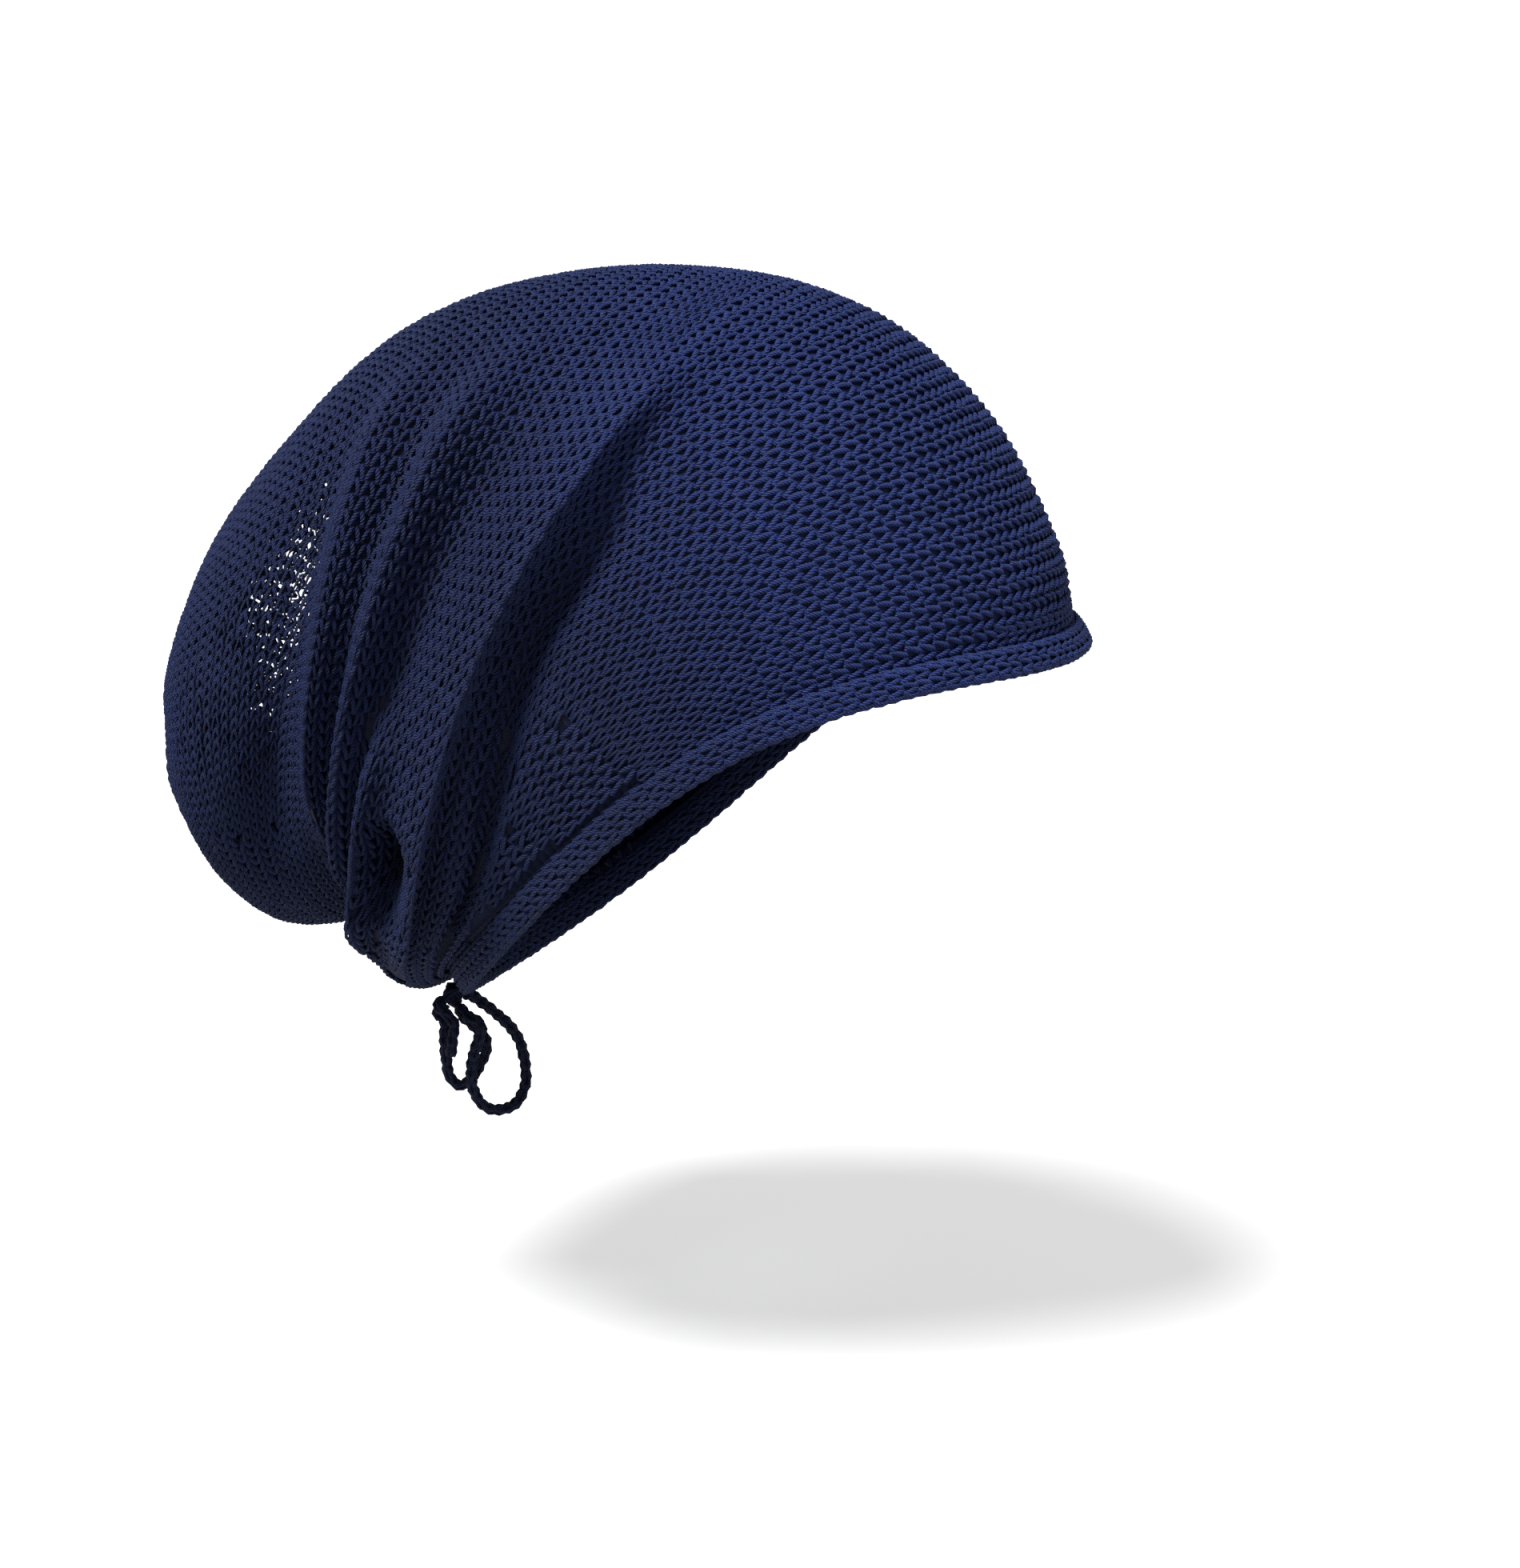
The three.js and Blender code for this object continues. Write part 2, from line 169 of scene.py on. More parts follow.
# %% Folds of the slack cloth
FOLD_HEIGHT = 11.0
FAR_SHARE, FAR_SHIFT = 0.8, 0.3
SLIDE_FROM, SLIDE_TO = 78, 136
FOLD_TABLE = [
    # ring, ring at the nape, height, width in rings, lean, from, full, last, to (degrees)
    (5.05, 2.40, -0.56, 0.50, 0.0, 50, 76, 124, 150),
    (6.14, 5.70, 1.08, 0.46, 0.75, 22, 62, 128, 152),
    (8.22, 8.30, 0.72, 0.44, 0.1, 26, 60, 126, 150),
    (8.90, 9.10, -0.28, 0.30, 0.0, 42, 66, 118, 146),
    (9.55, 9.90, 0.52, 0.36, 0.0, 28, 56, 112, 140),
    (10.60, 10.90, -0.62, 0.50, 0.0, 34, 62, 112, 144),
    (12.20, 12.00, 0.24, 0.80, 0.0, 40, 80, 110, 150),
]
LOBE_TABLE = [
    # the valley above the lobe, the lobe's hind edge and the deep pocket
    (7.40, 8.10, -0.46, 0.55, 0.0, 40, 66, 138, 160),
    (7.50, 7.10, 0.66, 0.40, 0.0, 90, 108, 132, 154),
    (6.65, 6.60, -1.50, 0.42, 0.0, 111, 121, 124, 135),
]
PLEATS, PLEAT_HEIGHT, END_DIMPLE = 10, 1.0, 4.0
# Rings before the end of the bag: where the pleats start, are full and fade, and where the dimple starts
PLEATS_START, PLEATS_FULL, PLEATS_FADE, DIMPLE_START = 3.5, 1.0, 0.6, 1.2


def half_turn(u):
    turned = np.mod(u, 2 * np.pi)
    far = turned > np.pi
    return np.degrees(np.where(far, 2 * np.pi - turned, turned)), far


def fold_moves(k, u):
    degrees, far = half_turn(u)
    slide = smooth(SLIDE_FROM, SLIDE_TO, degrees)
    out = np.zeros(np.broadcast(k, u).shape)
    down = np.zeros_like(out)
    for ring, low, height, width, lean, start, full, last, to in FOLD_TABLE + LOBE_TABLE:
        middle = ring + (low - ring) * slide + np.where(far, FAR_SHIFT, 0)
        grow = smooth(start, full, degrees) * (1 - smooth(last, to, degrees))
        h = height * FOLD_HEIGHT * np.where(far, FAR_SHARE, 1) * grow
        h = h * np.exp(-(((k - middle) / width) ** 2))
        out += h
        down += h * lean
    gather = smooth(RINGS - PLEATS_START, RINGS - PLEATS_FULL, k)
    gather = gather * (1 - smooth(RINGS - PLEATS_FADE, RINGS, k))
    out += PLEAT_HEIGHT * gather * np.cos(PLEATS * u)
    out -= END_DIMPLE * smooth(RINGS - DIMPLE_START, RINGS, k)
    return out, down


def body_point(k, u):
    out_way, down_way = base_frame(np.minimum(k, RINGS - 0.001), u)
    out, down = fold_moves(k, u)
    return base_point(k, u) + out_way * out[..., None] + down_way * down[..., None]


def wale_ring(row, u):
    """The ring that a column of stitches is on: it slides with the folds beside it."""
    degrees, far = half_turn(u)
    stops = sorted((f[0], f[1]) for f in FOLD_TABLE)
    at = np.array([0.0] + [s[0] for s in stops] + [RINGS])
    low = np.array([0.0] + [s[1] for s in stops] + [RINGS])
    shift = np.array([0.0] + [FAR_SHIFT] * len(stops) + [0.0])
    near = np.interp(row, at, low)
    away = np.interp(row, at + shift, low + shift)
    target = np.where(far, away, near)
    return row + (target - row) * smooth(SLIDE_FROM, SLIDE_TO, degrees)


# %% [markdown]
# ## Surfaces as grids
#
# The stitches need a point and a way out of the cloth anywhere on it. Working those out from the tables
# for every point of every loop would be slow, so each surface is worked out once on a fine grid and
# read between its corners.

# %% A surface to knit on
def make_skin(points, wrap_rows=False, wrap_cols=True):
    rows, cols = points.shape[:2]

    def slope(axis, wraps):
        if wraps:
            return np.roll(points, -1, axis) - np.roll(points, 1, axis)
        return np.gradient(points, axis=axis)

    ways = unit(np.cross(slope(0, wrap_rows), slope(1, wrap_cols)))

    def skin(a, b):
        a = np.mod(a, rows) if wrap_rows else np.clip(a, 0, rows - 1.001)
        b = np.mod(b, cols) if wrap_cols else np.clip(b, 0, cols - 1.001)
        i, j = np.floor(a).astype(int) % rows, np.floor(b).astype(int) % cols
        s, t = (a - np.floor(a))[..., None], (b - np.floor(b))[..., None]
        i2 = (i + 1) % rows
        j2 = (j + 1) % cols

        def read(grid):
            return ((grid[i, j] * (1 - s) + grid[i2, j] * s) * (1 - t)
                    + (grid[i, j2] * (1 - s) + grid[i2, j2] * s) * t)

        return read(points), unit(read(ways))

    return skin


# %% [markdown]
# ## One knitted loop
#
# Each stitch is a loop of yarn. It comes up through the loop before it, spreads into two legs, which
# are the V that one sees on the face of the cloth, and passes behind the next loop. The V's point lies
# toward the start of the row. A bump map could suggest this, but only real loops leave the small holes
# that light comes through.

# %% Path of one loop
LOOP = np.array([
    # across the column, along it, depth below the face in yarn thicknesses
    (-0.05, -0.34, 1.55), (-0.12, 0.00, 0.78), (-0.27, 0.42, 0.42), (-0.41, 0.86, 0.70),
    (0.0, 1.14, 1.85),
    (0.41, 0.86, 0.70), (0.27, 0.42, 0.42), (0.12, 0.00, 0.78), (0.05, -0.34, 1.55),
])

# %% [markdown]
# ## Tubes of yarn
#
# The hat has thousands of loops. A curve object for each would be slow, so all the tubes of a piece are
# worked out at once and become one mesh. Each face also knows how far along and around its yarn it lies.

# %% Tubes along many paths
YARN_SIDES = 5
END_SIZE = 0.5


def tubes(paths, ways, across, thick):
    """Tubes along many short paths: points, faces, and how far along and around each corner lies."""
    n, m = paths.shape[:2]
    tangent = unit(np.gradient(paths, axis=1))
    side = unit(np.cross(tangent, ways))
    lift = np.cross(side, tangent)
    size = np.ones(m)
    size[[0, -1]] = END_SIZE
    angle = 2 * np.pi * (np.arange(YARN_SIDES) + 0.25) / YARN_SIDES
    c, s = np.cos(angle), np.sin(angle)
    wide = (across[:, None] * size)[..., None, None]
    tall = (thick[:, None] * size)[..., None, None]
    points = (paths[:, :, None] + side[:, :, None] * (wide * c[:, None])
              + lift[:, :, None] * (tall * s[:, None]))
    corner = np.arange(n * m * YARN_SIDES).reshape(n, m, YARN_SIDES)
    after = np.roll(corner, -1, axis=2)
    faces = np.stack([corner[:, :-1], corner[:, 1:], after[:, 1:], after[:, :-1]], axis=-1)
    run = np.linalg.norm(np.diff(paths, axis=1), axis=-1)
    run = np.concatenate([np.zeros((n, 1)), np.cumsum(run, axis=1)], axis=1)
    around = np.arange(YARN_SIDES) / YARN_SIDES
    first = np.broadcast_to(run[:, :-1, None], faces.shape[:3])
    last = np.broadcast_to(run[:, 1:, None], faces.shape[:3])
    start = np.broadcast_to(around, faces.shape[:3])
    end = start + 1 / YARN_SIDES
    uv = np.stack([
        np.stack([first, last, last, first], axis=-1),
        np.stack([start, start, end, end], axis=-1),
    ], axis=-1)
    return points.reshape(-1, 3), faces.reshape(-1, 4), uv.reshape(-1, 2)


# %% Loops on a skin
# How uneven loops are: shares of their size, of a place across and along, mm of depth, share of width
UNEVEN_SIZE, UNEVEN_ACROSS, UNEVEN_ALONG, UNEVEN_DEPTH, UNEVEN_WIDTH = 0.07, 0.025, 0.04, 0.06, 0.05
SIZE_WAYS = np.array([1, 0.6, 0])


def loops(skin, a, b, da, db, across, thick, seed):
    """Knitted loops that start at a, b on a skin and are da wide and db long on it."""
    rng = np.random.default_rng(seed)
    n = len(a)
    wobble = rng.normal(0, 1, (n, 4))
    slack = 1 + UNEVEN_SIZE * rng.normal(0, 1, (n, 1, 1)) * SIZE_WAYS
    shape = LOOP[None] * slack
    at_a = a[:, None] + (shape[..., 0] + UNEVEN_ACROSS * wobble[:, :1]) * da[:, None]
    at_b = b[:, None] + (shape[..., 1] + UNEVEN_ALONG * wobble[:, 1:2]) * db[:, None]
    points, ways = skin(at_a, at_b)
    depth = thick[:, None] * 2 * LOOP[None, :, 2] + UNEVEN_DEPTH * wobble[:, 2:3]
    points = points - ways * depth[..., None]
    wide = across * (1 + UNEVEN_WIDTH * wobble[:, 3])
    return tubes(points, ways, wide, thick)


def join(parts):
    points, faces, uvs, start = [], [], [], 0
    for p, f, uv in parts:
        points.append(p)
        faces.append(f + start)
        uvs.append(uv)
        start += len(p)
    return np.concatenate(points), np.concatenate(faces), np.concatenate(uvs)


# %% [markdown]
# ## Pieces and their tone
#
# Over the forehead and the top the cloth is taut, and there it looks lighter than where it is slack;
# that lighter tone is partly the taut cloth and partly painted light from above. At the bottom of the
# deep pocket beside the nape it looks nearly black, which is painted shade. Light alone didn't show that
# here, so each point of a mesh holds a number for its tone with this painted light and shade, which the
# yarn's material reads.

# %% Tone by place, with painted light and painted shade
# Tone of the slack cloth, and what is added where the cloth is taut and painted lighter as if lit from
# above
SLACK_TONE, TAUT_AND_LIT_TONE = 0.62, 0.78
# How far up counts beside how far forward, and the mm at which the lighter tone starts and is full;
# that lighter tone is partly painted light from above
TAUT_AND_LIT_RISE, TAUT_AND_LIT_FROM_TO = 0.6, (0, 95)
POCKET_RING, POCKET_TURN = 6.62, 125.0
POCKET = body_point(np.array([POCKET_RING]), np.radians([POCKET_TURN]))[0]
# Painted shade at the bottom of the pocket: how much darker, and its reach in mm
POCKET_SHADE, POCKET_REACH = 0.92, 7.5


def taut_tone_and_painted_light(points):
    # Lighter up and forward, partly for the taut cloth and partly painted light; painted shade in the
    # pocket
    stretched = TAUT_AND_LIT_RISE * points[:, 2] - points[:, 1]
    tone = SLACK_TONE + TAUT_AND_LIT_TONE * smooth(*TAUT_AND_LIT_FROM_TO, stretched)
    to_pocket = np.linalg.norm(points - POCKET, axis=1)
    return tone * (1 - POCKET_SHADE * np.exp(-(to_pocket / POCKET_REACH) ** 2))


# %% Mesh pieces from points and faces
# The plies' pattern runs a tenth of a unit per mm along the yarn, and one unit around it
PATTERN_SCALE = np.array([0.1, 1.0])
# The pattern's corners on a face of plain backing
PLAIN_FACE = [[0, 0], [0, 0.1], [0.2, 0.1], [0.2, 0]]


def make_piece(name, made, material):
    points, faces, uv = made
    mesh = bpy.data.meshes.new(name)
    mesh.vertices.add(len(points))
    mesh.vertices.foreach_set("co", (points * MM).astype(np.float32).ravel())
    mesh.loops.add(faces.size)
    mesh.loops.foreach_set("vertex_index", faces.astype(np.int32).ravel())
    mesh.polygons.add(len(faces))
    mesh.polygons.foreach_set("loop_start", np.arange(0, faces.size, 4, dtype=np.int32))
    mesh.update(calc_edges=True)
    mesh.polygons.foreach_set("use_smooth", np.ones(len(faces), dtype=bool))
    layer = mesh.uv_layers.new(name="yarn")
    layer.data.foreach_set("uv", (uv * PATTERN_SCALE).astype(np.float32).ravel())
    layer = mesh.attributes.new("taut_tone_and_painted_light", "FLOAT", "POINT")
    layer.data.foreach_set("value", taut_tone_and_painted_light(points).astype(np.float32))
    mesh.materials.append(material)
    piece = bpy.data.objects.new(name, mesh)
    bpy.context.scene.collection.objects.link(piece)
    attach(piece, "root")
    print(name, len(faces) * 2, "triangles")
    return piece


# %% [markdown]
# ## Spun cotton
#
# The yarn is a few plies twisted together, matt, with short fibres that catch light at its edges. The
# pattern of the plies is worked out from how far along and around the yarn a point lies. A picture of
# yarn could be used, but a pattern from numbers stays sharp at any size. The group gives a bumped normal
# and a shade: painted shade, darker in the grooves between the plies and fibres, with random patches.
# Each yarn's own shader holds its colour and sheen.

# %% Pattern of the twisted plies
# How much the plies lean around the yarn, and how high they and the fibres stand
PLY_LEAN, PLY_HEIGHT, FIBRE_HEIGHT = 12.566, 0.65, 0.35
FIBRE_SCALE, FIBRE_DETAIL, PATCH_SCALE = 2600.0, 2.0, 160.0
BUMP_STRENGTH, BUMP_DISTANCE = 1.0, 0.00045
# The painted shade's gain with the height of plies and fibres and from patch to patch,
# and what it starts from
SHADE_BY_HEIGHT, SHADE_BY_PATCH, SHADE_START = 1.5, 0.3, -0.45


def spun_group():
    group = bpy.data.node_groups.new("spun_yarn", "ShaderNodeTree")
    group.interface.new_socket(name="Twist", in_out="INPUT", socket_type="NodeSocketFloat")
    group.interface.new_socket(name="Painted Shade and Patches", in_out="OUTPUT", socket_type="NodeSocketFloat")
    group.interface.new_socket(name="Normal", in_out="OUTPUT", socket_type="NodeSocketVector")
    nodes, links = group.nodes, group.links

    def math_node(kind, a, b=None, c=None):
        node = nodes.new("ShaderNodeMath")
        node.operation = kind
        for socket, value in zip(node.inputs, (a, b, c)):
            if value is None:
                continue
            if isinstance(value, (int, float)):
                socket.default_value = value
            else:
                links.new(value, socket)
        return node.outputs[0]

    start = nodes.new("NodeGroupInput")
    where = nodes.new("ShaderNodeUVMap")
    where.uv_map = "yarn"
    parts = nodes.new("ShaderNodeSeparateXYZ")
    links.new(where.outputs["UV"], parts.inputs[0])
    along, around = parts.outputs[0], parts.outputs[1]
    twisted = math_node("MULTIPLY", along, start.outputs["Twist"])
    phase = math_node("ADD", twisted, math_node("MULTIPLY", around, PLY_LEAN))
    ply = math_node("ABSOLUTE", math_node("SINE", phase))
    place = nodes.new("ShaderNodeTexCoord")
    fibre = nodes.new("ShaderNodeTexNoise")
    fibre.inputs["Scale"].default_value = FIBRE_SCALE
    fibre.inputs["Detail"].default_value = FIBRE_DETAIL
    links.new(place.outputs["Object"], fibre.inputs["Vector"])
    patch = nodes.new("ShaderNodeTexNoise")
    patch.inputs["Scale"].default_value = PATCH_SCALE
    links.new(place.outputs["Object"], patch.inputs["Vector"])
    height = math_node("ADD", math_node("MULTIPLY", ply, PLY_HEIGHT),
                       math_node("MULTIPLY", fibre.outputs["Fac"], FIBRE_HEIGHT))
    bump = nodes.new("ShaderNodeBump")
    bump.inputs["Strength"].default_value = BUMP_STRENGTH
    bump.inputs["Distance"].default_value = BUMP_DISTANCE
    links.new(height, bump.inputs["Height"])
    # Painted shade: darker where plies and fibres lie lower, with random patches of tone
    patches = math_node("MULTIPLY_ADD", patch.outputs["Fac"], SHADE_BY_PATCH, SHADE_START)
    shade = math_node("ADD", math_node("MULTIPLY", height, SHADE_BY_HEIGHT), patches)
    end = nodes.new("NodeGroupOutput")
    links.new(shade, end.inputs["Painted Shade and Patches"])
    links.new(bump.outputs["Normal"], end.inputs["Normal"])
    return group


SPUN = spun_group()

# %% [markdown]
# ## Two navy yarns
#
# The cloth and its cord are the same navy, but the cord is worked tighter and looks darker. A picture
# could give the colour; here it runs from a deep tone between the plies, which is painted shade, to a
# bright one on top of them, and the place's tone, with its painted light and shade, raises or lowers
# both.

# %% Yarns of the cloth and the cord
TWIST = 34.0
YARN_FINISH = {
    "Roughness": 0.62, "Specular IOR Level": 0.35,
    "Sheen Weight": 0.14, "Sheen Roughness": 0.45, "Sheen Tint": (0.25, 0.40, 1.0, 1.0),
}


def yarn_material(name, groove_shade, bright):
    material = bpy.data.materials.new(name)
    material.use_nodes = True
    nodes, links = material.node_tree.nodes, material.node_tree.links
    shader = nodes["Principled BSDF"]
    for socket, value in YARN_FINISH.items():
        shader.inputs[socket].default_value = value
    spun = nodes.new("ShaderNodeGroup")
    spun.node_tree = SPUN
    spun.inputs["Twist"].default_value = TWIST
    # From the painted shade between the plies to the bright tops
    ramp = nodes.new("ShaderNodeMix")
    ramp.data_type = "RGBA"
    ramp.inputs["A"].default_value = (*groove_shade, 1.0)
    ramp.inputs["B"].default_value = (*bright, 1.0)
    links.new(spun.outputs["Painted Shade and Patches"], ramp.inputs["Factor"])
    # The place's tone, partly painted light and painted shade, scales the yarn's colour
    taut_and_lit = nodes.new("ShaderNodeAttribute")
    taut_and_lit.attribute_name = "taut_tone_and_painted_light"
    tone = nodes.new("ShaderNodeHueSaturation")
    links.new(taut_and_lit.outputs["Fac"], tone.inputs["Value"])
    links.new(ramp.outputs["Result"], tone.inputs["Color"])
    links.new(tone.outputs["Color"], shader.inputs["Base Color"])
    links.new(spun.outputs["Normal"], shader.inputs["Normal"])
    return material


KNIT_YARN = yarn_material("knit_yarn", (0.0005, 0.0017, 0.010), (0.027, 0.050, 0.222))
CORD_YARN = yarn_material("cord_yarn", (0.0012, 0.0025, 0.014), (0.010, 0.018, 0.085))

# %% [markdown]
# ## The drawcord's bow
#
# The cord is crocheted from the same yarn, so it is a small knitted tube. It leaves the hem beside the
# middle of the nape and is tied in a bow whose two loops and short end hang down. A plain curve with a
# round section would be quicker, but the chain of loops shows at this size.

# %% Routes of the cord
CORD_D = 3.3
BOW_DROP = 33.0
KNOT = np.array([-16.16, 83.46, -47.05])
SHORT_LOOP = [
    # to the side, back and up from the knot, in shares of the bow's drop
    (-0.046, 0.081, -0.091), (-0.074, 0.132, -0.149), (-0.067, 0.061, -0.185),
    (-0.079, 0.052, -0.347), (-0.061, 0.050, -0.519), (-0.024, 0.035, -0.689),
    (0.015, -0.030, -0.767), (0.045, -0.124, -0.699), (0.073, -0.198, -0.565),
    (0.085, -0.238, -0.390), (0.089, -0.025, -0.191), (0.055, -0.016, -0.117),
]
LONG_LOOP = [
    (-0.055, -0.086, -0.081), (-0.089, -0.140, -0.132), (-0.127, -0.289, -0.192),
    (-0.121, -0.256, -0.343), (-0.103, -0.202, -0.500), (-0.085, -0.177, -0.642),
    (-0.027, -0.176, -0.793), (0.045, -0.225, -0.923), (0.152, -0.311, -0.979),
    (0.273, -0.405, -0.951), (0.379, -0.446, -0.809), (0.424, -0.415, -0.595),
    (0.394, -0.340, -0.379), (0.198, -0.053, -0.053), (0.122, -0.033, -0.033),
]
SHORT_TAIL = [
    (-0.124, 0.033, -0.023), (-0.202, 0.053, -0.038), (-0.188, -0.080, -0.177),
    (-0.200, -0.075, -0.320), (-0.191, -0.054, -0.457),
]


# %% Smooth path through the points
SMOOTH_CUTS = 12


def smooth_path(points, step):
    """A smooth curve through points, cut at even steps."""
    points = np.asarray(points, float)
    ends = np.concatenate([[2 * points[0] - points[1]], points, [2 * points[-1] - points[-2]]])
    gaps = np.linalg.norm(np.diff(ends, axis=0), axis=1) ** 0.5
    knots = np.concatenate([[0], np.cumsum(gaps)])
    curve = []
    for i in range(1, len(ends) - 2):
        p0, p1, p2, p3 = ends[i - 1:i + 3]
        t0, t1, t2, t3 = knots[i - 1:i + 3]
        for t in np.linspace(t1, t2, SMOOTH_CUTS, endpoint=False):
            a1 = (t1 - t) / (t1 - t0) * p0 + (t - t0) / (t1 - t0) * p1
            a2 = (t2 - t) / (t2 - t1) * p1 + (t - t1) / (t2 - t1) * p2
            a3 = (t3 - t) / (t3 - t2) * p2 + (t - t2) / (t3 - t2) * p3
            b1 = (t2 - t) / (t2 - t0) * a1 + (t - t0) / (t2 - t0) * a2
            b2 = (t3 - t) / (t3 - t1) * a2 + (t - t1) / (t3 - t1) * a3
            curve.append((t2 - t) / (t2 - t1) * b1 + (t - t1) / (t2 - t1) * b2)
    curve.append(points[-1])
    curve = np.array(curve)
    run = np.concatenate([[0], np.cumsum(np.linalg.norm(np.diff(curve, axis=0), axis=1))])
    even = np.linspace(0, run[-1], max(4, int(round(run[-1] / step)) + 1))
    return np.stack([np.interp(even, run, curve[:, i]) for i in range(3)], axis=1), run[-1]


# %% Round skin of the cord
START_WAY = [0.3, 0.8, 0.5]


def around_path(path, radius, sides):
    """Rings of points around a path, without twist."""
    tangent = unit(np.gradient(path, axis=0))
    side = np.zeros_like(path)
    side[0] = unit(np.cross(tangent[0], START_WAY))
    for i in range(1, len(path)):
        side[i] = unit(side[i - 1] - tangent[i] * (side[i - 1] @ tangent[i]))
    other = np.cross(tangent, side)
    angle = 2 * np.pi * np.arange(sides) / sides
    return (path[None] + radius * (np.cos(angle)[:, None, None] * side[None]
                                   + np.sin(angle)[:, None, None] * other[None]))


# %% Crocheted cord
CORD_COLUMNS, CORD_STITCH = 3, 2.7
CORD_SIDES = 24
# How much of its column a loop fills, half the width and thickness of its yarn, and the core's share
CORD_LOOP, CORD_YARN_WIDE, CORD_YARN_THICK, CORD_CORE = 0.92, 0.62, 0.46, 0.62
CORE_WAY = [0.31, 0.52, 0.8]


def crocheted(path, length, seed, radius=CORD_D / 2):
    """A cord of crocheted loops around a dark core."""
    skin = make_skin(around_path(path, radius, CORD_SIDES), wrap_rows=True, wrap_cols=False)
    column_width = CORD_SIDES / CORD_COLUMNS
    rows = max(2, int(round(length / CORD_STITCH)))
    per_row = (len(path) - 1) / rows
    j, i = np.meshgrid(np.arange(rows), np.arange(CORD_COLUMNS))
    a = ((i + 0.5 * (j % 2)) * CORD_SIDES / CORD_COLUMNS).ravel()
    b = (j * per_row).ravel().astype(float)
    n = a.size
    made = loops(skin, a, b, np.full(n, column_width * CORD_LOOP), np.full(n, per_row),
                 np.full(n, CORD_YARN_WIDE), np.full(n, CORD_YARN_THICK), seed)
    core_ways = unit(np.cross(unit(np.gradient(path, axis=0)), CORE_WAY))
    core_size = np.array([radius * CORD_CORE])
    core = tubes(path[None], core_ways[None], core_size, core_size)
    return join([made, core])


# %% Loops and short end of the bow
PATH_STEP = 0.7


def cord_piece(name, route, seed):
    path, length = smooth_path(np.array(route) * BOW_DROP + KNOT, PATH_STEP)
    piece = make_piece(name, crocheted(path, length, seed), CORD_YARN)
    print(name, "is", round(length, 1), "mm long")
    return piece, path, length


short_loop, short_path, short_length = cord_piece("bow_short_loop_cord", SHORT_LOOP, 11)
long_loop, long_path, long_length = cord_piece("bow_long_loop_cord", LONG_LOOP, 12)
short_tail, _, _ = cord_piece("bow_short_end_cord", SHORT_TAIL, 13)

# %% [markdown]
# ## The knot
#
# The bow's knot is the cord wound over itself. Its true path can't be seen, so a trefoil, the simplest
# closed knot, stands for it: from outside it shows the same short crossing turns.

# %% Knot and what the cord pieces stand for
KNOT_SIZE, KNOT_DEPTH, KNOT_CORD_RADIUS = 0.82, 1.4, 1.55
t = np.linspace(0, 2 * np.pi, 60)
wrap = np.stack([
    np.sin(t) + 2 * np.sin(2 * t), -KNOT_DEPTH * np.sin(3 * t), np.cos(t) - 2 * np.cos(2 * t)
], axis=1)
knot_path, knot_length = smooth_path(wrap * KNOT_SIZE + KNOT, PATH_STEP)
knot_made = crocheted(knot_path, knot_length, 14, radius=KNOT_CORD_RADIUS)
knot = make_piece("bow_knot_wraps", knot_made, CORD_YARN)

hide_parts("bow_loop_short")
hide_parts("bow_loop_long")
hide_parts("bow_tail_short")
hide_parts("bow_knot")

# %% [markdown]
# ## The knit body
#
# The cloth was knitted sideways, so its columns of stitches run around the hat like the rings. There
# are about 84 columns from the hem to the end of the bag and 144 stitches around. Where the cloth is
# bunched up at the nape, or drawn together at the end, only one column or stitch of two, four or more
# comes to the face, and the rest hide in the gathers, so those are left out.

# %% Where the stitches lie
COLUMNS, AROUND = 84, 144
# The cloth's grid: steps for each ring and each stitch, and rows that go on under the hem, in mm
PER_RING, PER_STITCH = 40, 4
UNDER, UNDER_STEP = 10, 0.4
GRID_AROUND = AROUND * PER_STITCH
grid_row, grid_u = np.meshgrid(
    np.linspace(0, RINGS, RINGS * PER_RING + 1),
    np.linspace(0, 2 * np.pi, GRID_AROUND, endpoint=False), indexing="ij"
)
cloth = body_point(np.minimum(wale_ring(grid_row, grid_u), RINGS), grid_u)


def hem_frame(u):
    """The cloth's lower edge with the ways out of it and up along it."""
    zero = np.zeros_like(u)
    edge = body_point(zero, u)
    around = unit(body_point(zero, u + SMALL_STEP) - body_point(zero, u - SMALL_STEP))
    along_y = (RING_TABLE[0, 0] - RING_TABLE[0, 2]) * DEPTH
    along_z = (RING_TABLE[0, 1] - RING_TABLE[0, 3]) * RISE
    up = unit(np.array([0, along_z, -along_y]))
    up = unit(up - around * (around @ up)[:, None])
    return edge, unit(np.cross(up, around)), up


edge, _, up = hem_frame(grid_u[0])
below = edge[None] - up[None] * UNDER_STEP * np.arange(UNDER, 0, -1)[:, None, None]
cloth = np.concatenate([below, cloth])
cloth_skin = make_skin(cloth)

# Columns are spaced evenly on average over the near quarter, from the top to the side
seen = cloth[:, :AROUND]
steps = np.linalg.norm(np.diff(seen, axis=0), axis=-1).mean(axis=1)
run = np.concatenate([[0], np.cumsum(steps)])
edges = np.interp(np.linspace(0, run[-1], COLUMNS + 1), run, np.arange(len(run)))
print("cloth from hem to end:", round(run[-1]), "mm, columns of", round(run[-1] / COLUMNS, 2), "mm")

# %% Which stitches come to the face
# How many show as one, and the least width or length of one in mm where that many do
COLUMN_GROUPS = [(0.5, 5.6), (1, 2.05), (2, 1.03), (4, 0.5), (8, 0)]
STITCH_GROUPS = [(1, 1.95), (2, 0.97), (4, 0.5), (8, 0.25), (16, 0)]


def fits(size, number, groups):
    """Whether stitches of this size are shown in this group."""
    merged, least = groups[number]
    most = groups[number - 1][1] if number else np.inf
    return (size / merged >= least) & (size / merged < most)


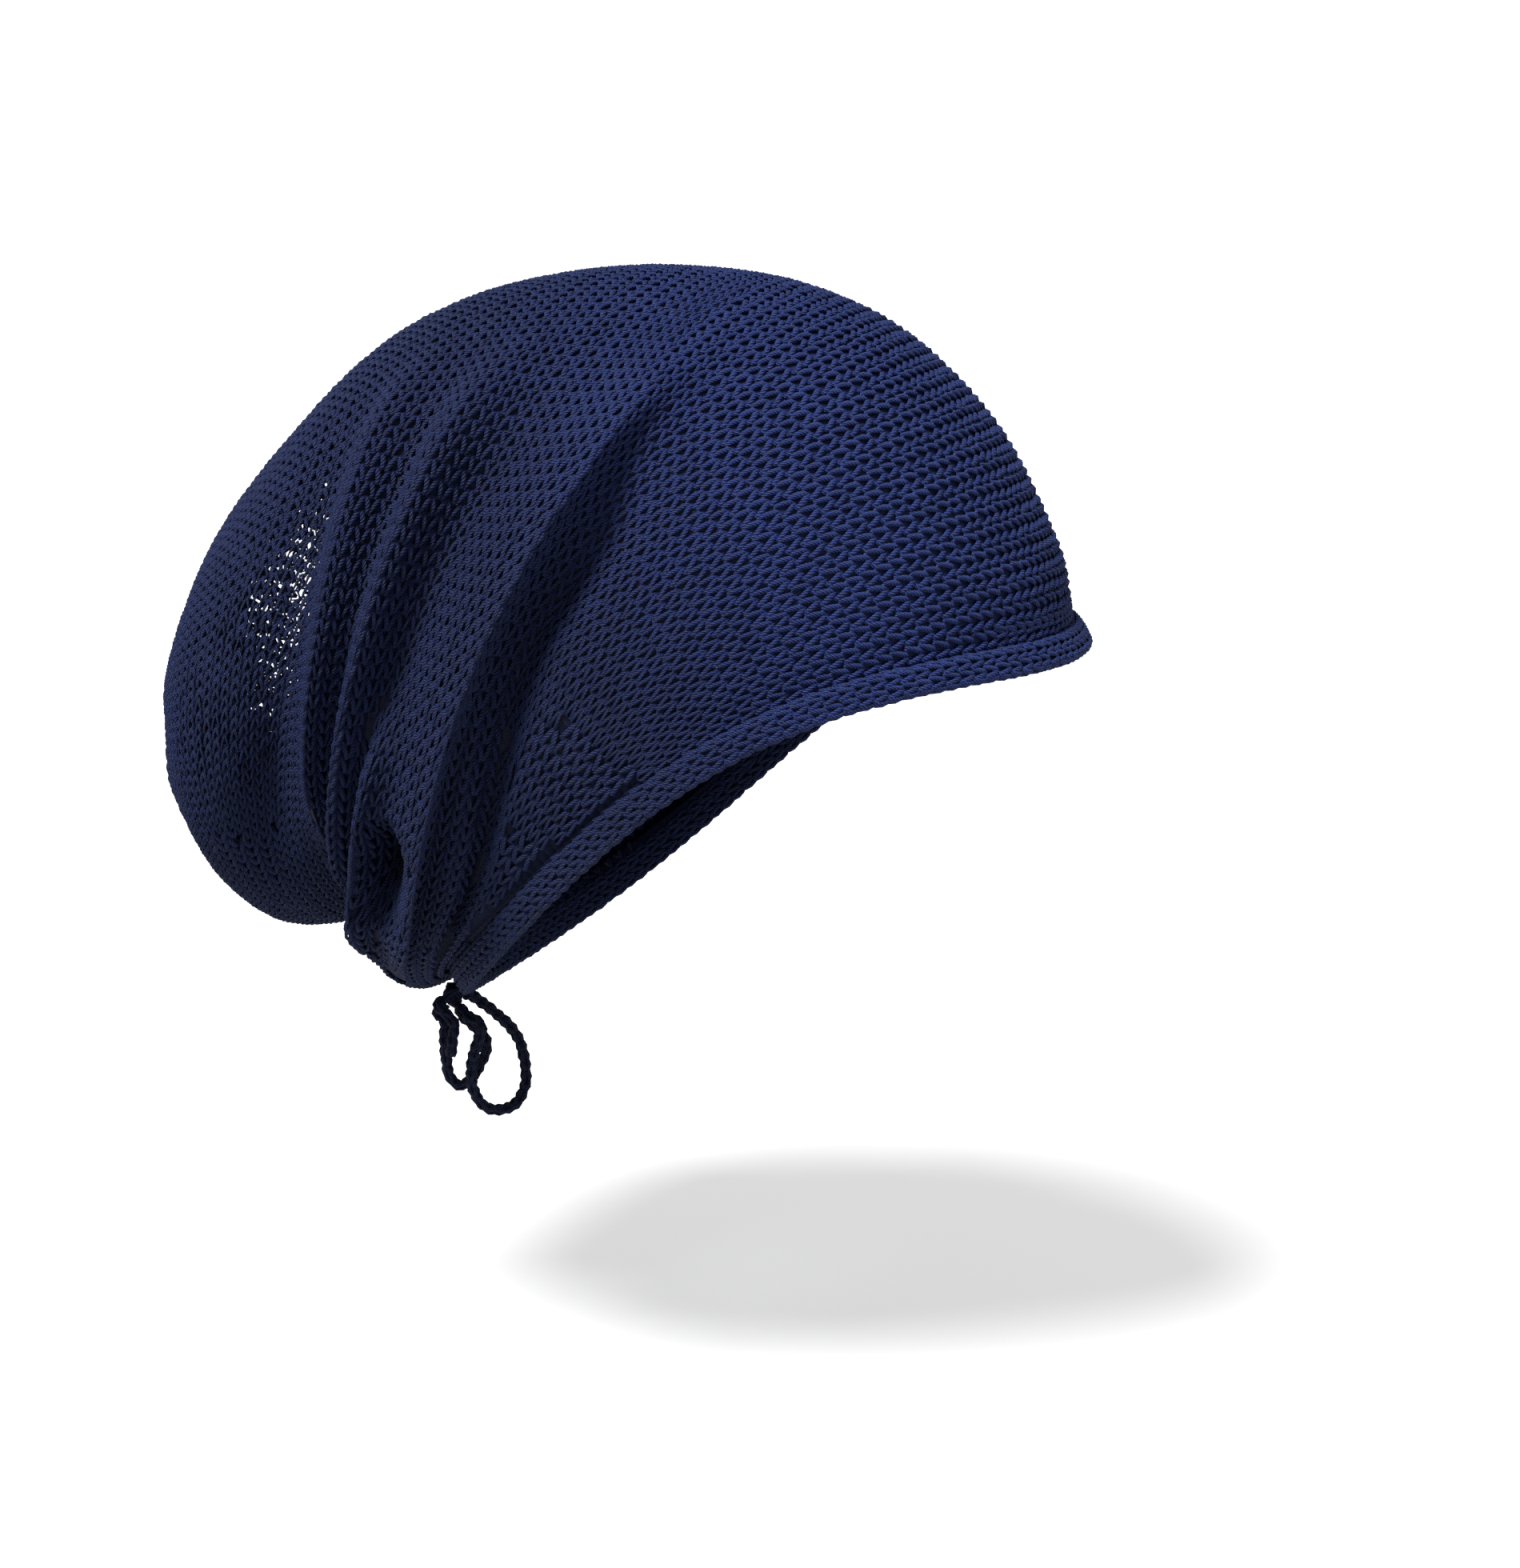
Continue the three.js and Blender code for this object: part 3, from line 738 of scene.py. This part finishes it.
def stitch_places():
    """Corner, width and length on the cloth's grid of each stitch that comes to the face."""
    found = []
    for number_a, (group_a, _) in enumerate(COLUMN_GROUPS):
        for number_b, (group_b, _) in enumerate(STITCH_GROUPS):
            i = np.arange(0, COLUMNS - group_a + 0.1, group_a)
            j = np.arange(0, AROUND, group_b)
            i, j = (x.ravel() for x in np.meshgrid(i, j, indexing="ij"))
            low = np.interp(i, np.arange(COLUMNS + 1), edges)
            high = np.interp(i + group_a, np.arange(COLUMNS + 1), edges)
            a, da = (low + high) / 2, high - low
            b, db = j * PER_STITCH, np.full(len(j), group_b * PER_STITCH)
            left, _ = cloth_skin(low, b + db / 2)
            right, _ = cloth_skin(high, b + db / 2)
            near, _ = cloth_skin(a, b)
            far, _ = cloth_skin(a, b + db)
            wide = np.linalg.norm(right - left, axis=-1)
            long = np.linalg.norm(far - near, axis=-1)
            keep = fits(wide, number_a, COLUMN_GROUPS) & fits(long, number_b, STITCH_GROUPS)
            found.append(np.stack([x[keep] for x in (a, b, da, db, wide, long)]))
    return np.concatenate(found, axis=1)


places = stitch_places()
print("stitches on the face:", places.shape[1])

# %% [markdown]
# ## Knitting the body
#
# The body is knitted in six bands, so that no mesh grows too large. In a few patches of the bag light
# shines through the cloth. Leaving stitches out would tear the pattern; thinner yarn opens it evenly.

# %% Knit the body in bands
PARTS = 6
PATCHES = [
    # ring, turn in degrees, reach in rings, reach in degrees, how much thinner the yarn is
    (11.0, 76, 0.9, 12, 0.45), (11.6, 92, 0.8, 9, 0.40), (10.9, 104, 0.6, 8, 0.35),
    (10.7, 68, 0.6, 10, 0.50), (14.2, 320, 1.2, 30, 0.50), (15.0, 295, 0.9, 40, 0.45),
]
PATCH_UNEVEN, THINNEST = 0.45, 0.35
# Half the yarn's width and thickness: share of the stitch's width, least and most in mm
YARN_WIDE, YARN_THICK = (0.19, 0.45, 0.74), (0.16, 0.38, 0.56)


def grid_place(a, b):
    """The ring and the degrees around of a place on the cloth's grid."""
    return (a - UNDER) / PER_RING, b / GRID_AROUND * 360


def openness(a, b):
    """How far the cloth is stretched open at a place of the bag."""
    ring, degrees = grid_place(a, b)
    most = np.zeros(len(a))
    for middle, at, reach, sweep, much in PATCHES:
        away = ((ring - middle) / reach) ** 2 + ((degrees - at) / sweep) ** 2
        most = np.maximum(most, much * np.exp(-away))
    return most


def yarn_size(wide, share, least, most):
    return np.clip(share * wide, least, most)


order = np.argsort(places[0], kind="stable")
for number, chosen in enumerate(np.array_split(order, PARTS)):
    a, b, da, db, wide, long = places[:, chosen]
    uneven = np.random.default_rng(60 + number).normal(1, PATCH_UNEVEN, len(a))
    slim = np.clip(1 - openness(a, b) * uneven, THINNEST, 1)
    across = yarn_size(wide, *YARN_WIDE) * slim
    thick = yarn_size(wide, *YARN_THICK) * slim
    made = loops(cloth_skin, a, b, da, db, across, thick, 100 + number)
    piece = make_piece(f"knit_body_{number + 1}", made, KNIT_YARN)
    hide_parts("knit_crown")

# %% [markdown]
# ## The back of the cloth
#
# Behind the V's lie the loops' backs, which close most of the cloth. Knitting those too would double the
# count, so a thin sheet lies between the legs of the loops and their tips, which stand out of it on the
# inside.
# It stands for the loops' backs, and it is drawn dark in the cord yarn as painted shade for the hat's
# shaded inside. Where light shines through the bag it has ragged gaps: one on the near side, and two
# on the far side where the camera looks out again.

# %% Backing between the loops, dark as painted shade
def grid_faces(rows, cols, wrap_rows=False):
    """Faces of a grid of points whose columns close on themselves, and its rows too if they wrap."""
    number = np.arange(rows * cols).reshape(rows, cols)
    above = np.roll(number, -1, axis=0)
    faces = np.stack([number, above, np.roll(above, -1, axis=1), np.roll(number, -1, axis=1)], axis=-1)
    return (faces if wrap_rows else faces[:-1]).reshape(-1, 4)


BACKING_ROWS, BACKING_COLS = 230, 216
# Depth in mm below the face at the hem and beyond it, and the ring where the backing ends
BACKING_AT_HEM, BACKING_DEPTH, BACKING_ENDS = 0.5, 1.35, 15.7
RAGGED = 0.22
BARE_PATCHES = [
    # ring, turn in degrees, reach in rings, reach in degrees
    (11.2, 84, 1.3, 40), (14.4, 318, 1.3, 40), (15.2, 275, 0.8, 60),
]
rows = np.linspace(0, UNDER + PER_RING * BACKING_ENDS, BACKING_ROWS)
b = np.arange(BACKING_COLS) * (GRID_AROUND / BACKING_COLS)
points, ways = cloth_skin(*np.meshgrid(rows, b, indexing="ij"))
depth = BACKING_AT_HEM + (BACKING_DEPTH - BACKING_AT_HEM) * smooth(0, UNDER - 2, rows)
backing_faces = grid_faces(len(rows), len(b))
at_ring, at_degrees = grid_place(rows[:-1, None], b[None])
ragged = 1 + RAGGED * np.random.default_rng(21).normal(0, 1, (len(rows) - 1, len(b)))
covered = np.ones((len(rows) - 1, len(b)), bool)
for ring, degrees, reach, sweep in BARE_PATCHES:
    away = np.hypot((at_ring - ring) / reach, (at_degrees - degrees) / sweep)
    covered &= away > ragged
backing_faces = backing_faces[covered.ravel()]
backing_made = (
    (points - ways * depth[:, None, None]).reshape(-1, 3), backing_faces,
    np.tile(PLAIN_FACE, (len(backing_faces), 1)),
)
# The dark sheet: partly the loops' backs, partly painted shade of the hat's inside
backing = make_piece("knit_backing_and_shade", backing_made, CORD_YARN)
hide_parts("knit_crown")

# %% [markdown]
# ## The rolled hem
#
# Knit cloth rolls up at its free edge, and here the roll also hides the drawcord. It is a thin tube of
# the same stitches, of which two or three columns show on its outer face. A plain bead would be
# simpler, but its chain of V's is what one sees along the forehead.

# %% Rolled hem
WALL = 2.4
HEM_HEIGHT, HEM_THICKNESS, HEM_OUT, GAP = 8.0, 4.2, 0.7, 0.3
HEM_SQUARENESS = 0.6
SECTION_CUTS = 721


def hem_section(rows, shrink):
    """The roll's section as points at even steps around it."""
    angle = np.linspace(0, 2 * np.pi, SECTION_CUTS)
    c, s = np.cos(angle), np.sin(angle)
    across = np.sign(c) * np.abs(c) ** HEM_SQUARENESS * (HEM_THICKNESS / 2 - shrink)
    tall = np.sign(s) * np.abs(s) ** HEM_SQUARENESS * (HEM_HEIGHT / 2 - shrink)
    run = np.concatenate([[0], np.cumsum(np.hypot(np.diff(across), np.diff(tall)))])
    even = np.linspace(0, run[-1], rows, endpoint=False)
    across = np.interp(even, run, across) + HEM_OUT - WALL / 2
    tall = np.interp(even, run, tall) - HEM_HEIGHT / 2 - GAP
    return across[:, None, None], tall[:, None, None]


def hem_grid(rows, cols, shrink=0.0):
    edge, out, up = hem_frame(np.linspace(0, 2 * np.pi, cols, endpoint=False))
    across, tall = hem_section(rows, shrink)
    return edge + out * across + up * tall


# %% Stitches of the hem
HEM_ROWS, HEM_COLUMNS = 48, 7
HEM_YARN_WIDE, HEM_YARN_THICK = 0.64, 0.50
hem_skin = make_skin(hem_grid(HEM_ROWS, GRID_AROUND), wrap_rows=True)
i, j = np.meshgrid(np.arange(HEM_COLUMNS), np.arange(AROUND), indexing="ij")
a = (i.ravel() + 0.5) * HEM_ROWS / HEM_COLUMNS
b = j.ravel() * PER_STITCH
n = a.size
hem_made = loops(hem_skin, a, b, np.full(n, HEM_ROWS / HEM_COLUMNS), np.full(n, PER_STITCH),
                 np.full(n, HEM_YARN_WIDE), np.full(n, HEM_YARN_THICK), 300)
hem = make_piece("hem_stitches", hem_made, KNIT_YARN)
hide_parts("rolled_hem")

# %% Dark core of the hem
CORE_SIDES, CORE_AROUND, CORE_SHRINK = 12, AROUND * 2, 1.2
core = hem_grid(CORE_SIDES, CORE_AROUND, shrink=CORE_SHRINK)
faces = grid_faces(CORE_SIDES, CORE_AROUND, wrap_rows=True)
made = (core.reshape(-1, 3), faces, np.tile(PLAIN_FACE, (len(faces), 1)))
core_piece = make_piece("hem_core", made, CORD_YARN)
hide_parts("rolled_hem")

# %% [markdown]
# ## Floor and light
#
# A product photograph is lit by large soft lamps over a pale floor. A bright sky stands for the
# studio's white walls and one broad lamp from above gives the hat its form and its soft shadow. The
# floor is greyer to the hat than to the camera, so that it looks white but doesn't light the hat's
# underside too much.

# %% Pale floor
FLOOR_DROP, FLOOR_HALF = 0.150, 40
FLOOR_TO_HAT, FLOOR_TO_CAMERA, FLOOR_GLOW = (0.40, 0.40, 0.40, 1), (0.98, 0.98, 0.98, 1), 0.5
floor_mesh = bpy.data.meshes.new("floor")
floor_corners = [(FLOOR_HALF * x, FLOOR_HALF * y, 0) for x, y in ((-1, -1), (1, -1), (1, 1), (-1, 1))]
floor_mesh.from_pydata(floor_corners, [], [(0, 1, 2, 3)])
floor = bpy.data.objects.new("floor", floor_mesh)
floor.location = (0, 0, -FLOOR_DROP)
bpy.context.scene.collection.objects.link(floor)
pale = bpy.data.materials.new("pale_floor")
pale.use_nodes = True
nodes, links = pale.node_tree.nodes, pale.node_tree.links
shader = nodes["Principled BSDF"]
shader.inputs["Roughness"].default_value = 0.9
shader.inputs["Specular IOR Level"].default_value = 0.0
seen_way = nodes.new("ShaderNodeLightPath")
tone = nodes.new("ShaderNodeMix")
tone.data_type = "RGBA"
tone.inputs["A"].default_value = FLOOR_TO_HAT
tone.inputs["B"].default_value = FLOOR_TO_CAMERA
links.new(seen_way.outputs["Is Camera Ray"], tone.inputs["Factor"])
links.new(tone.outputs["Result"], shader.inputs["Base Color"])
glow = nodes.new("ShaderNodeMath")
glow.operation = "MULTIPLY"
glow.inputs[1].default_value = FLOOR_GLOW
links.new(seen_way.outputs["Is Camera Ray"], glow.inputs[0])
links.new(glow.outputs[0], shader.inputs["Emission Strength"])
floor_mesh.materials.append(pale)

# %% Sky and lamp
WORLD_STRENGTH, LAMP_STRENGTH, LAMP_ANGLE = 0.24, 3.1, 20
LAMP_WAY = Vector((0.60, -0.22, -1.0))
world = bpy.data.worlds.new("studio")
bpy.context.scene.world = world
world.use_nodes = True
world.node_tree.nodes["Background"].inputs["Color"].default_value = (1, 1, 1, 1)
world.node_tree.nodes["Background"].inputs["Strength"].default_value = WORLD_STRENGTH

lamp = bpy.data.lights.new("key", "SUN")
lamp.energy = LAMP_STRENGTH
lamp.angle = math.radians(LAMP_ANGLE)
key = bpy.data.objects.new("key", lamp)
bpy.context.scene.collection.objects.link(key)
key.rotation_euler = LAMP_WAY.to_track_quat("-Z", "Y").to_euler()
bpy.context.scene.view_settings.view_transform = "Standard"
